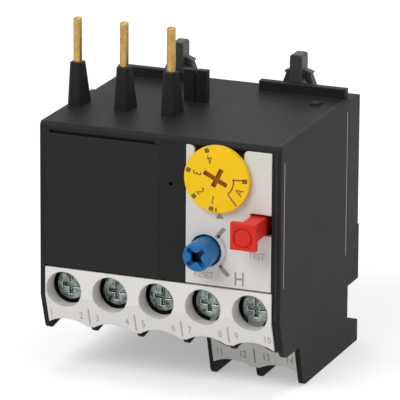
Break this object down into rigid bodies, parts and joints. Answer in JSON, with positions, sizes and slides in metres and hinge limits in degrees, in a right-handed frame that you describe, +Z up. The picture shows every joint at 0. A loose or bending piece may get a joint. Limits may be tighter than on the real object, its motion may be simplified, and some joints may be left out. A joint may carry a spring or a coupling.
{
  "type": "thermal overload relay",
  "caption": "Plug-in thermal overload relay with plug pins and hooks on top, a setting dial, reset and test buttons and two tiers of screw terminals.",
  "frame": {"origin": "centre of the bounding box's footprint, on the surface that the relay stands on", "axes": "+X to the right as seen facing the dial, -Y out of the front, +Z up along the plug pins"},
  "size_m": [0.045, 0.0448, 0.0624],
  "materials": {
    "black_moulding": "fine satin grain",
    "cover_moulding": "fine satin grain, a little browner",
    "insert_black": "smooth satin",
    "hook_black": "smooth satin",
    "panel_white": "warm white, smooth",
    "terminal_grey": "cool white, smooth",
    "dial_yellow": "smooth",
    "button_blue": "smooth",
    "button_red": "smooth",
    "pin_brass": "drawn",
    "screw_zinc": "zinc plated",
    "clamp_zinc": "zinc plated, stamped",
    "bar_brass": "tinned",
    "contact_silver": "silver",
    "bimetal": "rolled strip",
    "heater_tape": "oxidised tape",
    "grip_steel": "plated",
    "inner_moulding": "glass filled",
    "slider_moulding": "smooth",
    "spring_steel": "drawn wire"
  },
  "bodies": {
    "case": {"front_housing": "black_moulding", "rear_housing": "black_moulding", "side_cover": "cover_moulding", "front_insert": "insert_black", "control_panel": "panel_white", "terminal_strip": "panel_white", "lower_terminal_plate": "terminal_grey", "load_bar_1": "bar_brass", "load_bar_2": "bar_brass", "load_bar_3": "bar_brass", "plug_pin_1": "pin_brass", "plug_pin_2": "pin_brass", "plug_pin_3": "pin_brass", "bimetal_grip_1": "grip_steel", "bimetal_grip_2": "grip_steel", "bimetal_grip_3": "grip_steel", "mounting_hook_left": "hook_black", "mounting_hook_right": "hook_black", "bar_tray": "inner_moulding", "open_contact_bar_front": "bar_brass", "open_contact_bar_rear": "bar_brass", "closed_contact_bar_front": "bar_brass", "closed_contact_bar_rear": "bar_brass", "mechanism_plate": "inner_moulding", "rear_bracket": "inner_moulding", "reset_spring": "spring_steel", "test_spring": "spring_steel"},
    "dial": {"setting_dial": "dial_yellow", "setting_cam": "slider_moulding"},
    "setting_carriage": {"setting_slide": "slider_moulding"},
    "trip_arm": {"trip_lever": "slider_moulding"},
    "trip_shift": {"trip_bar": "slider_moulding"},
    "differential_shift": {"differential_bar": "slider_moulding"},
    "bimetal_1": {"bimetal_strip_1": "bimetal", "heater_coil_1": "heater_tape"},
    "bimetal_2": {"bimetal_strip_2": "bimetal", "heater_coil_2": "heater_tape"},
    "bimetal_3": {"bimetal_strip_3": "bimetal", "heater_coil_3": "heater_tape"},
    "rocker": {"contact_rocker": "slider_moulding", "open_contact_bridge": "contact_silver", "closed_contact_bridge": "contact_silver"},
    "reset_carriage": {"reset_slider": "slider_moulding"},
    "reset_knob": {"reset_button": "button_blue"},
    "test_key": {"test_button": "button_red"},
    "clamp_1": {"clamp_plate_1": "clamp_zinc"},
    "screw_1": {"terminal_screw_1": "screw_zinc"},
    "clamp_2": {"clamp_plate_2": "clamp_zinc"},
    "screw_2": {"terminal_screw_2": "screw_zinc"},
    "clamp_3": {"clamp_plate_3": "clamp_zinc"},
    "screw_3": {"terminal_screw_3": "screw_zinc"},
    "clamp_4": {"clamp_plate_4": "clamp_zinc"},
    "screw_4": {"terminal_screw_4": "screw_zinc"},
    "clamp_5": {"clamp_plate_5": "clamp_zinc"},
    "screw_5": {"terminal_screw_5": "screw_zinc"},
    "clamp_6": {"clamp_plate_6": "clamp_zinc"},
    "screw_6": {"terminal_screw_6": "screw_zinc"},
    "clamp_7": {"clamp_plate_7": "clamp_zinc"},
    "screw_7": {"terminal_screw_7": "screw_zinc"}
  },
  "joints": [
    {"name": "setting_shift", "type": "slide", "parent": "case", "child": "setting_carriage", "axis": [1, 0, 0], "range_m": [0, 0.0004951]},
    {"name": "dial_turn", "type": "hinge", "parent": "case", "child": "dial", "pos_m": [0.01098, -0.0175, 0.03995], "axis": [0, -1, 0], "range_deg": [0, 164]},
    {"name": "trip_travel", "type": "slide", "parent": "case", "child": "trip_shift", "axis": [1, 0, 0], "range_m": [0, 0.0018], "stiffness_N_per_m": 60},
    {"name": "differential_travel", "type": "slide", "parent": "case", "child": "differential_shift", "axis": [1, 0, 0], "range_m": [0, 0.0018]},
    {"name": "bimetal_1_bend", "type": "hinge", "parent": "case", "child": "bimetal_1", "pos_m": [-0.017, 0.003, 0.042], "axis": [0, -1, 0], "range_deg": [0, 5.6]},
    {"name": "bimetal_2_bend", "type": "hinge", "parent": "case", "child": "bimetal_2", "pos_m": [-0.00825, 0.003, 0.042], "axis": [0, -1, 0], "range_deg": [0, 5.6]},
    {"name": "bimetal_3_bend", "type": "hinge", "parent": "case", "child": "bimetal_3", "pos_m": [0.0005, 0.003, 0.042], "axis": [0, -1, 0], "range_deg": [0, 5.6]},
    {"name": "trip_lever_swing", "type": "hinge", "parent": "setting_carriage", "child": "trip_arm", "pos_m": [0.0055, -0.0017, 0.041], "axis": [0, -1, 0], "range_deg": [0, 5.9]},
    {"name": "rocker_swing", "type": "hinge", "parent": "case", "child": "rocker", "pos_m": [0.013, 0.0025, 0.0276], "axis": [0, -1, 0], "range_deg": [0, 11.75]},
    {"name": "reset_push", "type": "slide", "parent": "case", "child": "reset_carriage", "axis": [0, 1, 0], "range_m": [0, 0.002], "stiffness_N_per_m": 800, "deforming": ["reset_spring"]},
    {"name": "reset_turn", "type": "hinge", "parent": "reset_carriage", "child": "reset_knob", "pos_m": [0.00864, -0.0175, 0.02665], "axis": [0, -1, 0], "range_deg": [0, 90]},
    {"name": "test_push", "type": "slide", "parent": "case", "child": "test_key", "axis": [0, 1, 0], "range_m": [0, 0.0015], "stiffness_N_per_m": 800, "deforming": ["test_spring"]},
    {"name": "clamp_1_travel", "type": "slide", "parent": "case", "child": "clamp_1", "axis": [0, -1, 0], "range_m": [0, 0.0015]},
    {"name": "screw_1_turn", "type": "hinge", "parent": "clamp_1", "child": "screw_1", "pos_m": [-0.01806, -0.0125, 0.0162], "axis": [0, -1, 0], "range_deg": [0, 772]},
    {"name": "clamp_2_travel", "type": "slide", "parent": "case", "child": "clamp_2", "axis": [0, -1, 0], "range_m": [0, 0.0015]},
    {"name": "screw_2_turn", "type": "hinge", "parent": "clamp_2", "child": "screw_2", "pos_m": [-0.00931, -0.0125, 0.0162], "axis": [0, -1, 0], "range_deg": [0, 772]},
    {"name": "clamp_3_travel", "type": "slide", "parent": "case", "child": "clamp_3", "axis": [0, -1, 0], "range_m": [0, 0.0015]},
    {"name": "screw_3_turn", "type": "hinge", "parent": "clamp_3", "child": "screw_3", "pos_m": [-0.00057, -0.0125, 0.0162], "axis": [0, -1, 0], "range_deg": [0, 772]},
    {"name": "clamp_4_travel", "type": "slide", "parent": "case", "child": "clamp_4", "axis": [0, -1, 0], "range_m": [0, 0.0015]},
    {"name": "screw_4_turn", "type": "hinge", "parent": "clamp_4", "child": "screw_4", "pos_m": [0.00818, -0.0125, 0.0162], "axis": [0, -1, 0], "range_deg": [0, 772]},
    {"name": "clamp_5_travel", "type": "slide", "parent": "case", "child": "clamp_5", "axis": [0, -1, 0], "range_m": [0, 0.0015]},
    {"name": "screw_5_turn", "type": "hinge", "parent": "clamp_5", "child": "screw_5", "pos_m": [0.01693, -0.0125, 0.0162], "axis": [0, -1, 0], "range_deg": [0, 772]},
    {"name": "clamp_6_travel", "type": "slide", "parent": "case", "child": "clamp_6", "axis": [0, -1, 0], "range_m": [0, 0.0015]},
    {"name": "screw_6_turn", "type": "hinge", "parent": "clamp_6", "child": "screw_6", "pos_m": [0.0094, -0.0125, 0.0093], "axis": [0, -1, 0], "range_deg": [0, 772]},
    {"name": "clamp_7_travel", "type": "slide", "parent": "case", "child": "clamp_7", "axis": [0, -1, 0], "range_m": [0, 0.0015]},
    {"name": "screw_7_turn", "type": "hinge", "parent": "clamp_7", "child": "screw_7", "pos_m": [0.0182, -0.0125, 0.0093], "axis": [0, -1, 0], "range_deg": [0, 772]}
  ],
  "couplings": [
    {"joint": "dial_turn", "follows": "setting_shift", "rad_per_m": 5777.8},
    {"joint": "differential_travel", "follows": "trip_travel", "ratio": 1},
    {"joint": "bimetal_1_bend", "follows": "trip_travel", "rad_per_m": 54.05},
    {"joint": "bimetal_2_bend", "follows": "trip_travel", "rad_per_m": 54.05},
    {"joint": "bimetal_3_bend", "follows": "trip_travel", "rad_per_m": 54.05},
    {"joint": "trip_lever_swing", "follows": "trip_travel", "rad_per_m": 57.14},
    {"joint": "rocker_swing", "follows": "trip_travel", "rad_per_m": 113.6},
    {"joint": "screw_1_turn", "follows": "clamp_1_travel", "rad_per_m": 8976},
    {"joint": "screw_2_turn", "follows": "clamp_2_travel", "rad_per_m": 8976},
    {"joint": "screw_3_turn", "follows": "clamp_3_travel", "rad_per_m": 8976},
    {"joint": "screw_4_turn", "follows": "clamp_4_travel", "rad_per_m": 8976},
    {"joint": "screw_5_turn", "follows": "clamp_5_travel", "rad_per_m": 8976},
    {"joint": "screw_6_turn", "follows": "clamp_6_travel", "rad_per_m": 8976},
    {"joint": "screw_7_turn", "follows": "clamp_7_travel", "rad_per_m": 8976}
  ]
}
